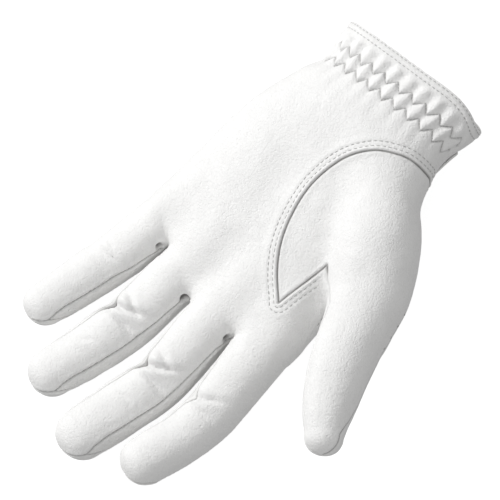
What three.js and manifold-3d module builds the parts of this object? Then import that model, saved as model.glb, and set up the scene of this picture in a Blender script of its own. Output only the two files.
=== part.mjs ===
// A leather golf glove for the left hand, filled as if worn and lying on its back.
// Millimetres. The palm faces +Z, the fingers point along +Y and the thumb is on the -X side.
// The glove's bounding box is centred on X and Y, and its lowest point is at Z = 0.
import * as THREE from "three";
import { LoftGeometry } from "three/addons/geometries/LoftGeometry.js";
import { mergeVertices } from "three/addons/utils/BufferGeometryUtils.js";
import Module from "manifold-3d";

const wasm = await Module();
wasm.setup();

// ---------------------------------------------------------------- Driving dimensions

const LEATHER = 0.7; // thickness of every leather panel
const GAP = 0.3; // clearance between neighbouring pieces, at seams and between layers
const SEAM_Z = 14; // height of the seam between the palm panel and the back panel
const CENTRE = [0.3, 0]; // shift that puts the bounding box's centre on the origin in X and Y

// Hand sections from the cuff to the finger webs: y, centre x, centre z, half width, half height.
const HAND_ROUNDNESS = 2.5; // superellipse exponent of the hand sections
const HAND_SECTIONS = [
  [-120, 35.9, 21.5, 39, 19],
  [-102, 35, 21.2, 38, 18],
  [-92, 34.8, 21, 35.9, 17.8],
  [-81, 31.6, 20.6, 35.7, 17.4],
  [-68, 31.5, 20.2, 40.8, 17],
  [-42, 31.1, 18.2, 45.2, 16.2],
  [-14, 27.6, 16.3, 47.6, 15],
  [0, 26, 14.8, 48.4, 14.5],
  [14, 24.4, 14.3, 49, 13.2],
  [21, 24, 14.3, 47.5, 11.5],
  [25, 24, 14.3, 44, 7],
];

// Finger stations: centre x, y, z, half width, half height. They stand inside the palm, at the
// base joint, at the middle joint, on the last phalanx and where the rounded tip begins.
// Seams are angles in degrees about the finger, from the palm side (+Z) towards the thumb side.
// A finger without a fourchette on one side has its palm piece wrapped round that side.
const BASE_STATION = 1;
const MIDDLE_STATION = 2;
const FINGERS = {
  index: {
    stations: [[-8, -3, 15, 12.3, 12.5], [-14.7, 30, 14.5, 12.2, 11.2], [-18, 53, 11.3, 11.7, 11.2],
      [-19.1, 69, 12.5, 10.9, 10.4], [-17.6, 87, 16, 10.3, 9.4]],
    seams: { palmUlnar: -45, palmRadial: 115, backRadial: 115, backUlnar: 225 },
  },
  middle: {
    stations: [[14, 4, 15, 12.2, 12.5], [10.6, 35, 14.5, 12, 11.2], [7.9, 61, 11.5, 12.2, 11.4],
      [8.7, 80, 13, 12.1, 10.8], [9.8, 100.5, 16, 11.2, 9.8]],
    seams: { palmUlnar: -45, palmRadial: 45, backRadial: 135, backUlnar: 225 },
  },
  ring: {
    stations: [[39, 0, 15, 12, 12.5], [37.5, 33, 14.5, 11.6, 11], [37.7, 56, 11.4, 12.1, 11.2],
      [39, 77, 13, 11.5, 10.5], [40.5, 94, 16, 10.4, 9.4]],
    seams: { palmUlnar: -45, palmRadial: 45, backRadial: 135, backUlnar: 225 },
  },
  little: {
    stations: [[61, -8, 15, 11, 12], [62.4, 30, 14.3, 11, 10.5], [65, 47, 11.2, 10.9, 10.6],
      [66.2, 63, 12.5, 10.3, 9.8], [66.9, 78, 15.5, 9.4, 8.8]],
    seams: { palmUlnar: -110, palmRadial: 45, backRadial: 135, backUlnar: 250 },
  },
};

// Thumb stations from inside the heel of the hand to where the rounded tip begins.
const THUMB_STATIONS = [
  [14, -80, 20.5, 11, 11], [1, -60, 22.5, 16, 15], [-12, -47.6, 24, 18, 17], [-26.9, -31.3, 24, 17.6, 15.5],
  [-36, -18.5, 27, 15.5, 14], [-41.3, -9.3, 30, 14.6, 13.3], [-51.5, 4.3, 33, 12.9, 12],
  [-61.1, 15.5, 35, 10.8, 10.3], [-68.5, 23, 36, 8.6, 8.6],
];
const THUMB_JOINT = 0.7; // knuckle, as a part of the thumb's length
const THUMB_PAD = [0.6, 0, 0.8]; // direction that the thumb's pad faces
const THUMB_FRONT = 75; // half angle of the thumb's front piece, degrees

const DIGIT_ROUNDNESS = 2.2; // superellipse exponent of finger and thumb sections
const FOURCHETTE_TIP = 0.42; // part of the rounded tip that the fourchettes reach over
const TIP_BLEND = 0.55; // part of the rounded tip over which the seams close to the tip's two halves
const TIP_END = 1.97; // where the palm and back pieces stop, just short of the tip's pole
const ARC_STEP = 22.5; // greatest angle between points along a finger strip, degrees
const SHELL_POINTS = 32; // points round a hand section
const STUB_POINTS = 20; // points round a finger or thumb where it joins the hand

// Edge of the cuff, from the radial side to the ulnar side, as x, y.
const MOUTH = [[-10, -100], [-4, -109], [7, -111.7], [29, -108.8], [56.6, -102.5], [80, -98]];
const HEM_WIDTH = 7;

// Thumb panel's outline on the palm, as x, y: up the palm to the point of the V, back to the
// crotch, and then round outside the thumb.
const THUMB_OUTLINE = [
  [-12, -80], [3.1, -79.4], [10.4, -75.7], [18.6, -69], [24.9, -57.5], [26.4, -41.6], [22.6, -27.1],
  [16.4, -15.1], [7.8, -5.7], [-3.5, 2.6], [-4.7, -10], [-6.7, -24.5], [-14, -17], [-24, 4],
  [-60, 20], [-90, 10], [-90, -80],
];

// Elastic band sewn inside the palm side of the wrist, as x, y corners.
const BAND_OUTLINE = [[4, -101], [66, -92.5], [66, -83], [4, -90.5]];
const BAND_THICKNESS = 0.8;

// Slit in the back, with the closure tab that bridges it.
const SLIT = { x: 28, end: -56, width: 3.6, bindingWidth: 4 };
const TAB = { fold: 14, end: 60, low: -98, high: -64, corner: 11, anchorLength: 12 };
const PATCH = { start: 32.5, end: 56, low: -95, high: -67, corner: 9, thickness: 0.6 };
const TAB_THICKNESS = 1.5; // at the tab's rim; its outer face is pressed flat on the ground

// ---------------------------------------------------------------- Shape helpers

const radians = THREE.MathUtils.degToRad;

// A power that keeps the sign, for superellipses.
function signedPower(value, exponent) {
  return Math.sign(value) * Math.abs(value) ** exponent;
}

function solidOf(geometry) {
  geometry.deleteAttribute("normal");
  geometry.deleteAttribute("uv");
  const merged = mergeVertices(geometry, 1e-4);
  return new wasm.Manifold(
    new wasm.Mesh({
      numProp: 3,
      vertProperties: merged.attributes.position.array,
      triVerts: new Uint32Array(merged.index.array),
    }),
  );
}

function geometryOf(solid) {
  const mesh = solid.getMesh();
  return new THREE.BufferGeometry()
    .setAttribute("position", new THREE.BufferAttribute(mesh.vertProperties, 3))
    .setIndex(new THREE.BufferAttribute(mesh.triVerts, 1));
}

// The largest of the separate bodies that a cut leaves.
function largestBody(solid) {
  return solid.decompose().sort((a, b) => b.volume() - a.volume())[0];
}

// A solid over a flat outline of x, y points, from one height to another.
function prism(points, low, high) {
  const shape = new THREE.Shape(points.map(([x, y]) => new THREE.Vector2(x, y)));
  const geometry = new THREE.ExtrudeGeometry(shape, { depth: high - low, bevelEnabled: false });
  return solidOf(geometry.translate(0, 0, low));
}

// An outline moved inwards by a distance.
function insetOutline(points, distance) {
  const count = points.length;
  const area = THREE.ShapeUtils.area(points.map(([x, y]) => ({ x, y })));
  return points.map(([x, y], i) => {
    const [previousX, previousY] = points[(i + count - 1) % count];
    const [nextX, nextY] = points[(i + 1) % count];
    const before = new THREE.Vector2(x - previousX, y - previousY).normalize();
    const after = new THREE.Vector2(nextX - x, nextY - y).normalize();
    const inward = new THREE.Vector2(-before.y - after.y, before.x + after.x);
    const mitre = (distance * 2 * Math.sign(area)) / inward.lengthSq();
    return [x + inward.x * mitre, y + inward.y * mitre];
  });
}

// Corner points of a rectangle whose far end, at the greatest x, has rounded corners.
function tabOutline(startX, endX, low, high, corner) {
  const shape = new THREE.Shape();
  shape.moveTo(startX, low);
  shape.lineTo(endX - corner, low);
  shape.absarc(endX - corner, low + corner, corner, -Math.PI / 2, 0);
  shape.absarc(endX - corner, high - corner, corner, 0, Math.PI / 2);
  shape.lineTo(startX, high);
  return shape.getPoints(6).map(({ x, y }) => [x, y]);
}

// Points round a superellipse, counterclockwise as seen from the far end of a loft.
function ring(centre, side, up, halfWidth, halfHeight, roundness, count) {
  return Array.from({ length: count }, (_, i) => {
    const angle = (-2 * Math.PI * i) / count;
    return new THREE.Vector3()
      .copy(centre)
      .addScaledVector(side, halfWidth * signedPower(Math.sin(angle), 2 / roundness))
      .addScaledVector(up, halfHeight * signedPower(Math.cos(angle), 2 / roundness));
  });
}

function cappedLoft(sections) {
  const loft = new LoftGeometry(sections, { closed: true, capStart: true, capEnd: true });
  return new THREE.BufferGeometry().copy(loft);
}

// ---------------------------------------------------------------- Fingers and thumb

// A digit's centre line and half sizes. `along` runs from 0 to 1 on the stations, and from 1 to 2
// over the rounded tip.
function makeDigit(stations) {
  const centreLine = new THREE.CatmullRomCurve3(stations.map(([x, y, z]) => new THREE.Vector3(x, y, z)));
  const sizes = new THREE.CatmullRomCurve3(stations.map(([, , , a, b]) => new THREE.Vector3(a, b, 0)));

  function frameAt(along, depth = 0) {
    const onLine = Math.min(along, 1);
    const tipAngle = (Math.max(along - 1, 0) * Math.PI) / 2;
    const tangent = centreLine.getTangent(onLine);
    const up = new THREE.Vector3(0, 0, 1);
    up.addScaledVector(tangent, -up.dot(tangent)).normalize();
    const side = new THREE.Vector3().crossVectors(up, tangent);
    const size = sizes.getPoint(onLine);
    const halfWidth = size.x - depth;
    const halfHeight = size.y - depth;
    const centre = centreLine.getPoint(onLine).addScaledVector(tangent, halfWidth * Math.sin(tipAngle));
    const scale = Math.cos(tipAngle);
    return { centre, tangent, up, side, halfWidth: halfWidth * scale, halfHeight: halfHeight * scale };
  }

  // A point on the digit's surface, or `depth` below it, at an angle in degrees from the palm side.
  function surfacePoint(along, angle, depth) {
    const { centre, side, up, halfWidth, halfHeight } = frameAt(along, depth);
    const sine = signedPower(Math.sin(radians(angle)), 2 / DIGIT_ROUNDNESS);
    const cosine = signedPower(Math.cos(radians(angle)), 2 / DIGIT_ROUNDNESS);
    return centre.addScaledVector(side, halfWidth * sine).addScaledVector(up, halfHeight * cosine);
  }

  // A solid length of the digit, for joining to the hand.
  function length(from, to, steps, depth) {
    const sections = Array.from({ length: steps + 1 }, (_, i) => {
      const { centre, side, up, halfWidth, halfHeight } = frameAt(from + ((to - from) * i) / steps, depth);
      return ring(centre, side, up, halfWidth, halfHeight, DIGIT_ROUNDNESS, STUB_POINTS);
    });
    return solidOf(cappedLoft(sections));
  }

  // A strip of leather between two seams. `edges(along)` gives the seams' angles.
  function strip(stops, edges) {
    const [first, last] = edges(stops[0]);
    const steps = Math.max(2, Math.round((last - first) / ARC_STEP));
    const sections = stops.map((along) => {
      const { halfWidth, halfHeight } = frameAt(along);
      const seamClearance = THREE.MathUtils.radToDeg(GAP / 2 / Math.max((halfWidth + halfHeight) / 2, 0.7));
      const [low, high] = edges(along);
      const angles = Array.from({ length: steps + 1 }, (_, i) =>
        THREE.MathUtils.lerp(high - seamClearance, low + seamClearance, i / steps),
      );
      const outer = angles.map((angle) => surfacePoint(along, angle, 0));
      const inner = angles.map((angle) => surfacePoint(along, angle, LEATHER)).reverse();
      return [...outer, ...inner];
    });
    return cappedLoft(sections);
  }

  return { centreLine, frameAt, surfacePoint, length, strip };
}

// Evenly spaced places along a digit.
function spread(from, to, steps) {
  return Array.from({ length: steps + 1 }, (_, i) => THREE.MathUtils.lerp(from, to, i / steps));
}

// Half the clearance at a cut across a digit, as a part of its length.
function clearanceAlong(digit) {
  return GAP / 2 / digit.centreLine.getLength();
}

// ---------------------------------------------------------------- Scene graph

const glove = new THREE.Group();
glove.name = "golf_glove";

function leather(shade, roughness = 0.62) {
  return new THREE.MeshStandardMaterial({ color: shade, roughness, metalness: 0 });
}

function addPiece(name, geometry, material, parent = glove) {
  const mesh = new THREE.Mesh(geometry, material);
  mesh.name = name;
  const place = parent.getWorldPosition(new THREE.Vector3());
  geometry.translate(CENTRE[0] - place.x, CENTRE[1] - place.y, -place.z);
  parent.add(mesh);
  return mesh;
}

// A group whose origin is a hinge's pivot, with the hinge's axis kept in its user data.
function addHinge(name, pivot, axis, parent = glove) {
  const hinge = new THREE.Group();
  hinge.name = name;
  hinge.userData.axis = axis.toArray();
  const place = parent.getWorldPosition(new THREE.Vector3());
  hinge.position.copy(pivot).add(new THREE.Vector3(CENTRE[0], CENTRE[1], 0)).sub(place);
  parent.add(hinge);
  return hinge;
}

// ---------------------------------------------------------------- Hand: palm, back and thumb panels

const digits = Object.fromEntries(
  Object.entries(FINGERS).map(([name, { stations }]) => [name, makeDigit(stations)]),
);
const thumb = makeDigit(THUMB_STATIONS);
const baseOf = (name) => BASE_STATION / (FINGERS[name].stations.length - 1);
const middleOf = (name) => MIDDLE_STATION / (FINGERS[name].stations.length - 1);

// The hand without its digits, `depth` below its surface, or above it for a negative depth.
function handLoft(depth) {
  const side = new THREE.Vector3(-1, 0, 0);
  const up = new THREE.Vector3(0, 0, 1);
  const sections = HAND_SECTIONS.map(([y, x, z, halfWidth, halfHeight], i) => {
    const end = i === HAND_SECTIONS.length - 1 ? depth : 0;
    const centre = new THREE.Vector3(x, y - end, z);
    return ring(centre, side, up, halfWidth - depth, halfHeight - depth, HAND_ROUNDNESS, SHELL_POINTS);
  });
  return solidOf(cappedLoft(sections));
}

// The hand with the roots of its digits. The hollow one runs past each cut to leave it open.
function handSolid(depth) {
  const overrun = depth > 0 ? 0.02 : 0;
  let solid = handLoft(depth);
  for (const [name, digit] of Object.entries(digits)) {
    solid = solid.add(digit.length(0, baseOf(name) + overrun, 4, depth));
  }
  return solid.add(thumb.length(0, THUMB_JOINT + overrun, 9, depth));
}

// A curve through the mouth's points, moved along Y.
function mouthCurve(offset) {
  const curve = new THREE.SplineCurve(MOUTH.map(([x, y]) => new THREE.Vector2(x, y + offset)));
  return curve.getPoints(18).map(({ x, y }) => [x, y]);
}

const belowMouth = prism([[-10, -130], [80, -130], ...mouthCurve(0).reverse()], -10, 60);
const slitHole = prism(
  tabOutline(0, 130 + SLIT.end, -SLIT.width / 2, SLIT.width / 2, SLIT.width / 2).map(
    ([along, across]) => [SLIT.x - across, along - 130],
  ),
  -10,
  SEAM_Z,
);
const everywhere = [[-100, -130], [100, -130], [100, 130], [-100, 130]];
const palmHalf = prism(everywhere, SEAM_Z + GAP / 2, 70);
const backHalf = prism(everywhere, -10, SEAM_Z - GAP / 2);

const shell = handSolid(0).subtract(handSolid(LEATHER)).subtract(belowMouth);
const palmShell = shell.intersect(palmHalf);
const thumbRegion = prism(THUMB_OUTLINE, 0, 70);
const thumbInside = prism(insetOutline(THUMB_OUTLINE, GAP), 0, 70);

addPiece("palm_panel", geometryOf(largestBody(palmShell.subtract(thumbRegion))), leather(0xf3f1ec));
addPiece("thumb_panel", geometryOf(largestBody(palmShell.intersect(thumbInside))), leather(0xf1efea));
const backShell = largestBody(shell.intersect(backHalf).subtract(slitHole));
addPiece("back_panel", geometryOf(backShell), leather(0xf2f0eb));

// ---------------------------------------------------------------- Cuff: hem, elastic band, slit binding

// The layer of the hand between two depths.
function layer(outerDepth, innerDepth) {
  return handLoft(outerDepth).subtract(handLoft(innerDepth));
}

const lining = layer(LEATHER + GAP, 2 * LEATHER + GAP);
const belowHem = prism([[-10, -130], [80, -130], ...mouthCurve(HEM_WIDTH).reverse()], -10, 60);
const hem = lining.intersect(belowHem).subtract(belowMouth).subtract(slitHole);
addPiece("cuff_hem", geometryOf(largestBody(hem)), leather(0xefede7, 0.7));

const band = layer(LEATHER + GAP, LEATHER + GAP + BAND_THICKNESS).intersect(prism(BAND_OUTLINE, 21, 60));
addPiece("elastic_band", geometryOf(largestBody(band)), leather(0xe9e8e4, 0.85));

const bindingHalf = SLIT.width / 2 + SLIT.bindingWidth;
const bindingArea = prism(
  [
    [SLIT.x - bindingHalf, MOUTH[3][1] + HEM_WIDTH + 1.5],
    [SLIT.x + bindingHalf, MOUTH[3][1] + HEM_WIDTH + 1.5],
    [SLIT.x + bindingHalf, SLIT.end + SLIT.bindingWidth],
    [SLIT.x - bindingHalf, SLIT.end + SLIT.bindingWidth],
  ],
  -10,
  SEAM_Z,
);
const binding = lining.intersect(bindingArea).subtract(slitHole);
addPiece("slit_binding", geometryOf(largestBody(binding)), leather(0xf0eee9));

// ---------------------------------------------------------------- Closure tab and its patches

const patchOutline = tabOutline(PATCH.start, PATCH.end, PATCH.low, PATCH.high, PATCH.corner);
const patchArea = prism(patchOutline, 0, 20);
const loopPatch = layer(-GAP - PATCH.thickness, -GAP).intersect(patchArea);
const hookPatch = layer(-2 * GAP - 2 * PATCH.thickness, -2 * GAP - PATCH.thickness).intersect(patchArea);
const tabDepth = 3 * GAP + 2 * PATCH.thickness;
const tabLayer = layer(-tabDepth - TAB_THICKNESS, -tabDepth);
const tabArea = prism(tabOutline(TAB.fold, TAB.end, TAB.low, TAB.high, TAB.corner), 0, 20);
const tabLeather = tabLayer.intersect(tabArea);
const anchorStart = TAB.fold - GAP - TAB.anchorLength;
const anchorArea = prism(
  [[anchorStart, TAB.low], [TAB.fold - GAP, TAB.low], [TAB.fold - GAP, TAB.high], [anchorStart, TAB.high]],
  0,
  20,
);
const anchor = handLoft(-tabDepth - TAB_THICKNESS / 2).subtract(handSolid(-GAP)).intersect(anchorArea);

addPiece("loop_patch", geometryOf(largestBody(loopPatch)), leather(0xe4e3de, 0.95));
addPiece("tab_anchor", geometryOf(largestBody(anchor)), leather(0xf2f0eb));

// The tab turns about the outer edge of its sewn end.
const foldStrip = tabLeather.intersect(
  prism(
    [[TAB.fold, TAB.low], [TAB.fold + 1, TAB.low], [TAB.fold + 1, TAB.high], [TAB.fold, TAB.high]],
    0,
    20,
  ),
);
const foldHeight = foldStrip.boundingBox().min[2];
const foldEdge = new THREE.Vector3(TAB.fold - GAP / 2, (TAB.low + TAB.high) / 2, foldHeight);
const tabHinge = addHinge("tab_hinge", foldEdge, new THREE.Vector3(0, 1, 0));
addPiece("closure_tab", geometryOf(largestBody(tabLeather)), leather(0xf2f0eb), tabHinge);
addPiece("hook_patch", geometryOf(largestBody(hookPatch)), leather(0xe8e8e6, 0.8), tabHinge);

// ---------------------------------------------------------------- Finger pieces

// Seam angles at a place along a finger: at the tip the palm and back pieces close over it.
function seamsAt(seams, along) {
  const closing = THREE.MathUtils.smoothstep(along, 1, 1 + TIP_BLEND);
  const towards = (angle, tipAngle) => THREE.MathUtils.lerp(angle, tipAngle, closing);
  return {
    palmUlnar: towards(seams.palmUlnar, -90),
    palmRadial: towards(seams.palmRadial, 90),
    backRadial: towards(seams.backRadial, 90),
    backUlnar: towards(seams.backUlnar, 270),
  };
}

// The strips of a finger and the seams on their two sides.
const STRIPS = {
  palm: (s) => [s.palmUlnar, s.palmRadial],
  radial_fourchette: (s) => [s.palmRadial, s.backRadial],
  back: (s) => [s.backRadial, s.backUlnar],
  ulnar_fourchette: (s) => [s.backUlnar, s.palmUlnar + 360],
};

for (const [name, { seams }] of Object.entries(FINGERS)) {
  const digit = digits[name];
  const clearance = clearanceAlong(digit);
  const base = digit.frameAt(baseOf(name));
  const middle = digit.frameAt(middleOf(name));
  const basePivot = digit.surfacePoint(baseOf(name), 0, 0);
  const middlePivot = digit.surfacePoint(middleOf(name), 0, 0);
  const baseAxis = new THREE.Vector3().crossVectors(base.tangent, base.up);
  const middleAxis = new THREE.Vector3().crossVectors(middle.tangent, middle.up);
  const baseHinge = addHinge(name + "_base_hinge", basePivot, baseAxis);
  const middleHinge = addHinge(name + "_middle_hinge", middlePivot, middleAxis, baseHinge);
  for (const [piece, edgesOf] of Object.entries(STRIPS)) {
    const [low, high] = edgesOf(seams);
    if (high === low) {
      continue;
    }
    const edges = (along) => edgesOf(seamsAt(seams, along));
    const isFourchette = piece.endsWith("fourchette");
    const tipEnd = isFourchette ? 1 + FOURCHETTE_TIP : TIP_END;
    const lower = spread(baseOf(name) + clearance, middleOf(name) - clearance, 3);
    const upper = [
      ...spread(middleOf(name) + clearance, 1, 4),
      ...spread(1, tipEnd, isFourchette ? 2 : 4).slice(1),
    ];
    const shade = isFourchette ? 0xf4f2ee : 0xf2f0eb;
    addPiece(name + "_lower_" + piece, digit.strip(lower, edges), leather(shade), baseHinge);
    addPiece(name + "_upper_" + piece, digit.strip(upper, edges), leather(shade), middleHinge);
  }
}

// ---------------------------------------------------------------- Thumb pieces beyond its knuckle

const thumbFrame = thumb.frameAt(THUMB_JOINT);
const padDirection = new THREE.Vector3(...THUMB_PAD);
padDirection.addScaledVector(thumbFrame.tangent, -padDirection.dot(thumbFrame.tangent)).normalize();
const thumbAxis = new THREE.Vector3().crossVectors(thumbFrame.tangent, padDirection);
const thumbPivot = thumbFrame.centre
  .clone()
  .addScaledVector(padDirection, Math.max(thumbFrame.halfWidth, thumbFrame.halfHeight));
const thumbHinge = addHinge("thumb_hinge", thumbPivot, thumbAxis);
const thumbStops = [
  ...spread(THUMB_JOINT + clearanceAlong(thumb), 1, 4),
  ...spread(1, TIP_END, 4).slice(1),
];
const THUMB_PIECES = {
  thumb_tip_front: [-THUMB_FRONT, THUMB_FRONT, -90, 90],
  thumb_tip_back: [THUMB_FRONT, 360 - THUMB_FRONT, 90, 270],
};
for (const [name, [low, high, tipLow, tipHigh]] of Object.entries(THUMB_PIECES)) {
  const edges = (along) => {
    const closing = THREE.MathUtils.smoothstep(along, 1, 1 + TIP_BLEND);
    return [THREE.MathUtils.lerp(low, tipLow, closing), THREE.MathUtils.lerp(high, tipHigh, closing)];
  };
  addPiece(name, thumb.strip(thumbStops, edges), leather(0xf1efea), thumbHinge);
}

export default glove;
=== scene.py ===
"""Golf glove for the left hand: the visual model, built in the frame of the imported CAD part.

The leather is one implicit surface, a palm loft joined smoothly to four fingers and a thumb. It is
meshed, cut along every seam and fold, pushed in and out for seams, puffs and creases, and given its
thickness. Lengths are millimetres until a mesh is handed to Blender, which works in metres.
"""
import math

import bpy
import numpy as np
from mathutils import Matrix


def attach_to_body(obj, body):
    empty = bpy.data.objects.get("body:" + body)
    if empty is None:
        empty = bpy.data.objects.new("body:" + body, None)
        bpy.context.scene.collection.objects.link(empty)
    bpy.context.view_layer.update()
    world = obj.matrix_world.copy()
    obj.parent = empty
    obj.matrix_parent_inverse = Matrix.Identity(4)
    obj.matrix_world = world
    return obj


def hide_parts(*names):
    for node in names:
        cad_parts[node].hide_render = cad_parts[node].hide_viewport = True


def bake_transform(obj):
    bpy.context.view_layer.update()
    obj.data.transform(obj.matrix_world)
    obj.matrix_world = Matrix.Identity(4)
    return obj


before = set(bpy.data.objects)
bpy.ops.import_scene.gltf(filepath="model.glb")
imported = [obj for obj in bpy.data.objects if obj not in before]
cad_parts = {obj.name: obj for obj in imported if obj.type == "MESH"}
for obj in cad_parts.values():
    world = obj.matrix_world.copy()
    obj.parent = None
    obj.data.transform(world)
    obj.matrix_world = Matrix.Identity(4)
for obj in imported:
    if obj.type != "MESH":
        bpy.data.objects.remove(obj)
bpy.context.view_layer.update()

import openvdb
from mathutils import Matrix, Vector

# ------------------------------------------------------------------ Driving dimensions

VOXEL = 0.8
LEATHER = 0.7
CENTRE_SHIFT = np.array([0.3, 0.0, 0.0])      # added to every point, so that the glove is centred
MM = 0.001
FAR = 40.0        # the value of a field away from what it measures

# Hand sections from the cuff to the webs: y, centre x, centre z, half width, half height.
HAND_ROUNDNESS = 2.5
HAND_SECTIONS = np.array([
    [-124, 36.0, 21.6, 39.2, 19.1], [-112, 35.6, 21.4, 38.8, 18.5], [-102, 35, 21.2, 37.6, 18],
    [-92, 34.4, 21, 35.9, 17.8], [-81, 31.9, 20.6, 35.9, 17.4], [-68, 31.5, 20.2, 40.2, 17],
    [-42, 31.1, 18.2, 44.6, 16.2], [-14, 27.6, 16.3, 46.8, 15], [0, 26, 14.8, 47.4, 14.2],
    [14, 24.4, 14.3, 47.6, 12.6], [24, 24, 14.3, 45, 10],
])
# How far the hand reaches between the fingers, as x and y.
WEB_REACH = np.array([[-30, 20], [-2, 24.6], [24, 28.4], [50, 21.6], [75, 17]])
# Small pits where the seams of two fingers meet.
WEB_HOLES = np.array([[53.4, 25.0, 18.0], [25.4, 31.4, 19.0], [-0.9, 28.0, 19.0]])

# Fingers: x, y, z, half width, half height, inside the palm, at the base joint, at the middle joint,
# on the last phalanx and where the tip starts to round off.
FINGERS = {
    "index": [[-8, -3, 15, 12.3, 12.5], [-14.7, 30, 14.5, 12.2, 11.2], [-18, 53, 11.3, 11.7, 11.2],
              [-19.1, 69, 12.5, 10.9, 10.4], [-17.6, 87, 16, 10.3, 9.4]],
    "middle": [[14, 4, 15, 12.2, 12.5], [10.6, 35, 14.5, 12, 11.2], [7.9, 61, 11.5, 12.2, 11.4],
               [8.7, 80, 13, 12.1, 10.8], [9.8, 100.5, 16, 11.2, 9.8]],
    "ring": [[39, 0, 15, 12, 12.5], [37.5, 33, 14.5, 11.6, 11], [37.7, 56, 11.4, 12.1, 11.2],
             [39, 77, 13, 11.5, 10.5], [40.5, 94, 16, 10.4, 9.4]],
    "little": [[61, -8, 15, 11, 12], [62.4, 30, 14.3, 11, 10.5], [65, 47, 11.2, 10.9, 10.6],
               [66.2, 63, 12.5, 10.3, 9.8], [66.9, 78, 15.5, 9.4, 8.8]],
}
THUMB = [[14, -80, 20.5, 11, 11], [1, -60, 22.5, 16, 15], [-12, -47.6, 24, 18, 17],
         [-26.9, -31.3, 24, 17.6, 15.5], [-36, -18.5, 27, 15.3, 14], [-41.9, -9.6, 30, 13.9, 13.3],
         [-51.5, 4.3, 33, 12.4, 12], [-61.1, 15.5, 35, 10.3, 10.2], [-68.0, 22.4, 36, 8.2, 8.4]]
THUMB_CROTCH = np.array([-24.0, -3.5, 24.0])      # where the web to the index finger is sharpest
BELOW_NOTCH = np.array([-16.0, -10.5, 25.0])      # the dip between the notch and the thumb
PALM_HOLLOW = [[22, 12], [28, -12], [38, -40]]     # line in plan along which the palm sinks in
DIGIT_ROUNDNESS = 2.2
START = {"index": 0.218, "middle": 0.20, "ring": 0.217, "little": 0.216}      # where its own pieces begin
BASE = 0.25       # a finger's base joint, as a part of its length
MIDDLE = 0.5      # its middle joint
THUMB_JOINT = 0.7
THUMB_TIP_BELOW = 10.0      # how far below the thumb's joint its upper pieces begin

# Seams of a finger: places along it, then the angles of the palm's and the back's seams, from the
# palm side towards each side of the finger. Past the last place the two meet over the tip.
SEAM_STOPS = [0.18, 0.25, 0.42, 0.5, 0.58, 0.75, 0.92, 1.0, 1.25]
SEAM_ANGLES = {
    "palm_radial": [86, 72, 63, 60, 60, 59, 58, 62, 72],
    "palm_ulnar": [80, 57, 46, 25, 44, 50, 58, 64, 72],
    "back_radial": [92, 116, 128, 130, 129, 126, 104, 86, 72],
    "back_ulnar": [92, 112, 122, 124, 123, 120, 102, 84, 72],
}
# The side of a finger that its palm piece wraps round, where one seam takes the place of two.
WRAP_STOPS = [0.18, 1.0, 1.25]
WRAPS = {"index": ("radial", [104, 106, 90]), "little": ("ulnar", [103, 104, 90])}

# Thumb seams: angles towards the outer and the inner side of the thumb.
THUMB_STOPS = [0.0, 0.6, 0.82, 0.92, 1.0, 1.2]
THUMB_OUTER = [112, 101, 100, 83, 64, 66]
THUMB_INNER = [68, 68, 69, 70, 68, 66]

# Edge of the cuff, and the thumb panel's outline: its arc on the palm, the notch to the crotch and the
# hidden side towards the index finger. On the back of the hand it has an outline of its own.
MOUTH = [[-12, -98], [-5, -108.5], [7, -111.7], [29, -107.4], [56.6, -102.0], [82, -97.6]]
THUMB_ARC = [[-24, -82], [-11, -81.5], [0.6, -80], [7.6, -76.4], [15.6, -69.5], [21.6, -58],
             [22.8, -42.4], [19, -28], [12.8, -16], [4.3, -6.5], [-6.5, 1.6]]
THUMB_NOTCH = [[-7.0, -10.5], [-7.9, -24.3]]
THUMB_HIDDEN = [[-13, -20], [-24, -15], [-33, 0], [-42, 24], [-95, 30], [-95, -82]]
THUMB_BEHIND = [[-24, -82], [-10, -81], [-5.5, -76], [-9, -62], [-13, -45], [-17, -28], [-21, -14],
                [-27, 4], [-40, 24], [-95, 30], [-95, -82]]

WRIST_TOP = -60.0              # the fields of the cuff are kept below this y
WRIST_HALF_SIZES = (37.0, 18.0)
ZIGZAG_PITCH = 7.6
ZIGZAG_HEIGHT = 3.8
ZIGZAG_SHIFT = 0.6             # how far the second row lags, as a part of the pitch
ZIGZAG_ROWS = (12.0, 18.8)     # distance of the two rows' centres from the cuff's edge
HEM_WIDTH = 7.0
HEM_ROWS = (0.9, 3.3)
PANEL_ROWS = (2.0, 4.1)        # stitch rows beside the thumb panel's seam, on the palm
SEAM_WIDTH = 0.42              # how wide a plain seam's groove is
SEAM_TICK = 2.1                # pitch of the fine stitches that show as ticks in a finger's seams
THREAD = 0.42
# Pitch and length of the stitches in each kind of row.
PANEL_STITCH = (2.5, 1.75)
HEM_STITCH = (2.3, 1.6)
THUMB_STITCH = (5.6, 1.3)
ZIGZAG_STITCH = (1.7, 1.4)
EDGE_STITCH = (2.4, 1.6)

# Slit in the back, closure tab and its patches: places in x and y, and corner radii.
BACK_TOP = 14.0                # what lies lower than this is on the back of the hand
SLIT_X, SLIT_END, SLIT_WIDTH = 28.0, -56.0, 3.6
BINDING_WIDTH = 4.0
BINDING_ROW = 2.2              # stitch row's distance from the slit's edge
TAB_FOLD, TAB_END, TAB_LOW, TAB_HIGH, TAB_CORNER = 14.0, 60.0, -98.0, -64.0, 11.0
TAB_ROW = 3.0                  # stitch row's distance from the tab's edge
ANCHOR_WIDTH = 12.3
ANCHOR_ROW = 2.5
PATCH = (32.5, 56.0, -95.0, -67.0, 3.0)
# Inner and outer face of each layer there, as heights over the smooth surface.
BINDING_FACES = (-2 * LEATHER, -LEATHER - 0.15)
PILE_FACES = (0.3, 0.85)
HOOK_FACES = (1.2, 1.8)
TAB_FACES = (2.1, 3.3)
ANCHOR_FACES = (0.6, 2.9)
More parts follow.
